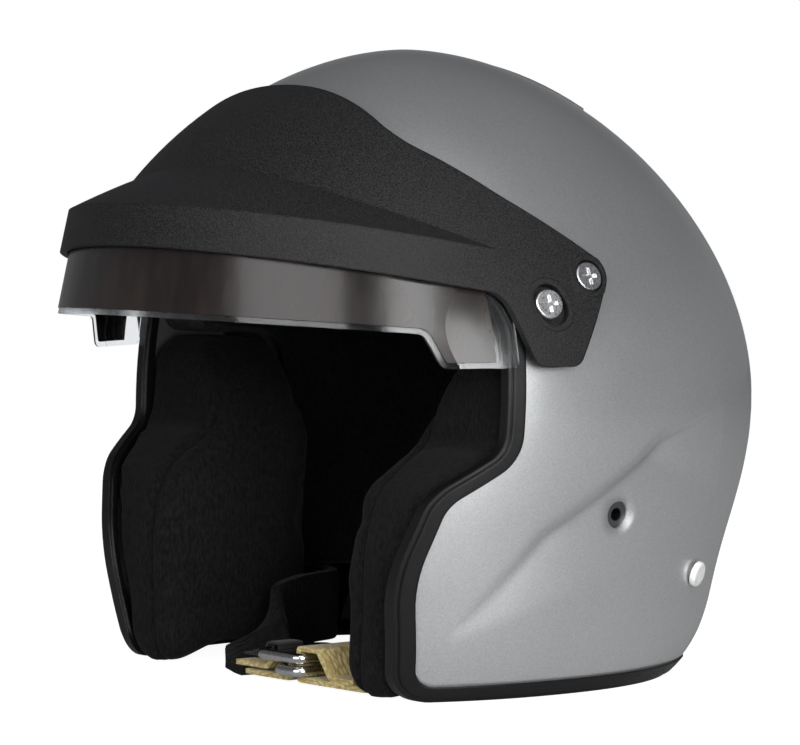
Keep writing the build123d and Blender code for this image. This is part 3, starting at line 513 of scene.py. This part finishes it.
# Strap rivets and plates: a steel rivet on each side, its head enamelled white outside, holds a
# plate and the end of the chin strap inside the shell.
rivet_radius = 0.0004
chip_size, chip_depth, chip_roughness = 0.002, 0.00003, (0.28, 0.4)
chip_tones, chip_window = ((0.60, 0.60, 0.59), (0.80, 0.80, 0.79)), (0.3, 0.5)
rivet_enamel = new_finish("rivet_enamel", {"Coat Weight": 0.4, "Coat Roughness": 0.1, "IOR": 1.5})
ease_edges(rivet_enamel, rivet_radius)
chips = grain(rivet_enamel, "ShaderNodeTexNoise", chip_size, Detail=5.0)
grade(rivet_enamel, chips.outputs["Fac"], "Base Color", chip_tones, chip_window)
grade(rivet_enamel, chips.outputs["Fac"], "Roughness", chip_roughness)
raise_grain(rivet_enamel, chips.outputs["Fac"], chip_depth)
dress(["strap_rivets"], rivet_enamel)

rolled_size, rolled_depth, rolled_roughness = 0.0009, 0.00002, (0.25, 0.4)
rolled_tones = (0.38, 0.38, 0.39), (0.56, 0.56, 0.57)
plate_steel = new_finish("plate_steel", {"Metallic": 1.0})
rolled = grain(plate_steel, "ShaderNodeTexNoise", rolled_size, stretch=(1.0, 0.12, 1.0), Detail=4.0)
grade(plate_steel, rolled.outputs["Fac"], "Base Color", rolled_tones)
grade(plate_steel, rolled.outputs["Fac"], "Roughness", rolled_roughness)
raise_grain(plate_steel, rolled.outputs["Fac"], rolled_depth)
dress(["strap_plates"], plate_steel)

# Chin strap: two lengths of cream-yellow aramid webbing, 25 mm wide and 2 mm thick, each held by
# a rivet. The left one is folded round both rings and sewn, the right one is threaded through
# them. The webbing is woven in fine ribs, with rounded edges.
left_path = (
    (0.022, -0.057, 0.008), (0.056, -0.057, 0.002), (0.068, -0.053, 0.002), (0.073, -0.044, 0.002),
    (0.077, -0.030, 0.002), (0.081, -0.013, 0.003), (0.085, 0.002, 0.005), (0.091, 0.016, 0.014),
    (0.100, 0.031, 0.021), (0.100, 0.047, 0.036), (0.098, 0.061, 0.050),
)
right_path = (
    (0.030, -0.057, 0.006), (-0.004, -0.057, 0.002), (-0.011, -0.057, 0.002), (-0.022, -0.055, 0.005),
    (-0.035, -0.047, 0.013), (-0.044, -0.032, 0.018), (-0.051, -0.012, 0.019), (-0.053, 0.004, 0.019),
    (-0.063, 0.014, 0.019), (-0.081, 0.025, 0.018), (-0.100, 0.033, 0.022), (-0.100, 0.048, 0.037),
    (-0.098, 0.061, 0.050),
)
webbing_edge, fold_angle, edge_angle = 0.0005, radians(60), radians(55)
rib_size, rib_sink, rib_roughness = 0.0011, -0.0004, (0.62, 0.85)
rib_tones, rib_window = ((0.66, 0.55, 0.27), (0.36, 0.27, 0.10)), (0.15, 0.75)


def lay_threads(piece, path):
    """Maps a band by its length along a path and its place across, both in metres."""
    points = [Vector(point) for point in path]
    threads = piece.data.uv_layers.new(name="threads")
    for polygon in piece.data.polygons:
        middle, run, best = polygon.center, 0.0, None
        for start, end in zip(points, points[1:]):
            step = end - start
            share = min(max((middle - start).dot(step) / step.length_squared, 0.0), 1.0)
            gap = (middle - start - step * share).length
            if best is None or gap < best[0]:
                best = gap, start, step.normalized(), run
            run += step.length
        gap, start, along, before = best
        sideways = along.cross(polygon.normal)
        for corner in polygon.loop_indices:
            off = piece.data.vertices[piece.data.loops[corner].vertex_index].co - start
            threads.data[corner].uv = (before + off.dot(along), off.dot(sideways))


def soften(piece, radius):
    """Rounds the edges of a folded band and smooths its bends."""
    bpy.ops.object.select_all(action="DESELECT")
    piece.select_set(True)
    bpy.context.view_layer.objects.active = piece
    bpy.ops.object.mode_set(mode="EDIT")
    bpy.ops.mesh.select_all(action="SELECT")
    bpy.ops.mesh.tris_convert_to_quads(face_threshold=fold_angle, shape_threshold=fold_angle)
    bpy.ops.object.mode_set(mode="OBJECT")
    settle(piece, "BEVEL", width=radius, segments=2, limit_method="ANGLE", angle_limit=edge_angle)
    settle(piece, "SUBSURF", levels=1, render_levels=1)


webbing = new_finish("aramid_webbing", {"Sheen Weight": 0.2, "Sheen Roughness": 0.4, "IOR": 1.4})
ribs = grain(webbing, "ShaderNodeTexVoronoi", rib_size, map_name="threads", stretch=(0.45, 1.0, 1.0))
grade(webbing, ribs.outputs["Distance"], "Base Color", rib_tones, rib_window)
grade(webbing, ribs.outputs["Color"], "Roughness", rib_roughness)
raise_grain(webbing, ribs.outputs["Distance"], rib_sink)
for side_name, path in (("left", left_path), ("right", right_path)):
    band = loose_copy(f"strap_{side_name}", f"chin_webbing_{side_name}")
    soften(band, webbing_edge)
    lay_threads(band, path)
    hand_over(band, f"strap_{side_name}", webbing)

# Strap sleeves: tubes of black knitted cloth, pushed on the webbing, that keep it off the skin.
# Each lies flat and follows the bends of its strap.
sleeve_edge = 0.0004
knit_size, knit_sink, knit_roughness = 0.0012, -0.0004, (0.8, 1.0)
knit_tones = (0.008, 0.008, 0.009), (0.003, 0.003, 0.003)
sleeve_cloth = new_finish("sleeve_cloth", {
    "Sheen Weight": 0.03, "Sheen Roughness": 0.5, "Specular IOR Level": 0.2, "IOR": 1.3,
})
knit = grain(
    sleeve_cloth, "ShaderNodeTexVoronoi", knit_size, map_name="threads", stretch=(1.0, 0.6, 1.0),
)
grade(sleeve_cloth, knit.outputs["Distance"], "Base Color", knit_tones)
grade(sleeve_cloth, knit.outputs["Distance"], "Roughness", knit_roughness)
raise_grain(sleeve_cloth, knit.outputs["Distance"], knit_sink)
for side_name, path in (("left", left_path), ("right", right_path)):
    tube = loose_copy(f"strap_sleeve_{side_name}", f"sleeve_cloth_{side_name}")
    soften(tube, sleeve_edge)
    lay_threads(tube, path)
    hand_over(tube, f"strap_sleeve_{side_name}", sleeve_cloth)

# Rings: two rings of bent and welded steel wire, polished and plated. The outer one turns in the
# end loop of the strap when the tab is pulled, which lets the webbing run.
drawn_size, drawn_depth, drawn_roughness = 0.0008, 0.00002, (0.12, 0.24)
drawn_tones = (0.50, 0.50, 0.51), (0.68, 0.68, 0.69)
ring_steel = new_finish("ring_steel", {"Metallic": 1.0})
drawn = grain(ring_steel, "ShaderNodeTexNoise", drawn_size, Detail=3.0)
grade(ring_steel, drawn.outputs["Fac"], "Base Color", drawn_tones, bright_window)
grade(ring_steel, drawn.outputs["Fac"], "Roughness", drawn_roughness, narrow_window)
raise_grain(ring_steel, drawn.outputs["Fac"], drawn_depth)
dress(["ring_inner", "ring_outer"], ring_steel)

# Pull tab: a black ribbon, folded round the outer ring and sewn to itself. Its ribs run across
# the ribbon, close together, as in grosgrain.
tab_path = ((-0.024, -0.057, 0.008), (0.0, -0.057, 0.008), (0.0, -0.057, 0.013))
tab_edge = 0.00025
cord_size, cord_depth, cord_roughness = 0.0045, 0.0003, (0.9, 0.65)
cord_tones = (0.004, 0.004, 0.004), (0.013, 0.013, 0.014)
ribbon = new_finish("ribbon", {"Sheen Weight": 0.1, "Sheen Roughness": 0.5, "IOR": 1.4})
cord_ribs = grain(
    ribbon, "ShaderNodeTexWave", cord_size, map_name="threads", Distortion=0.6, Detail=1.0,
)
cord_ribs.bands_direction = "X"
grade(ribbon, cord_ribs.outputs["Fac"], "Base Color", cord_tones)
grade(ribbon, cord_ribs.outputs["Fac"], "Roughness", cord_roughness)
raise_grain(ribbon, cord_ribs.outputs["Fac"], cord_depth)
tab = loose_copy("pull_tab", "pull_ribbon")
soften(tab, tab_edge)
lay_threads(tab, tab_path)
hand_over(tab, "pull_tab", ribbon, "release_ring")
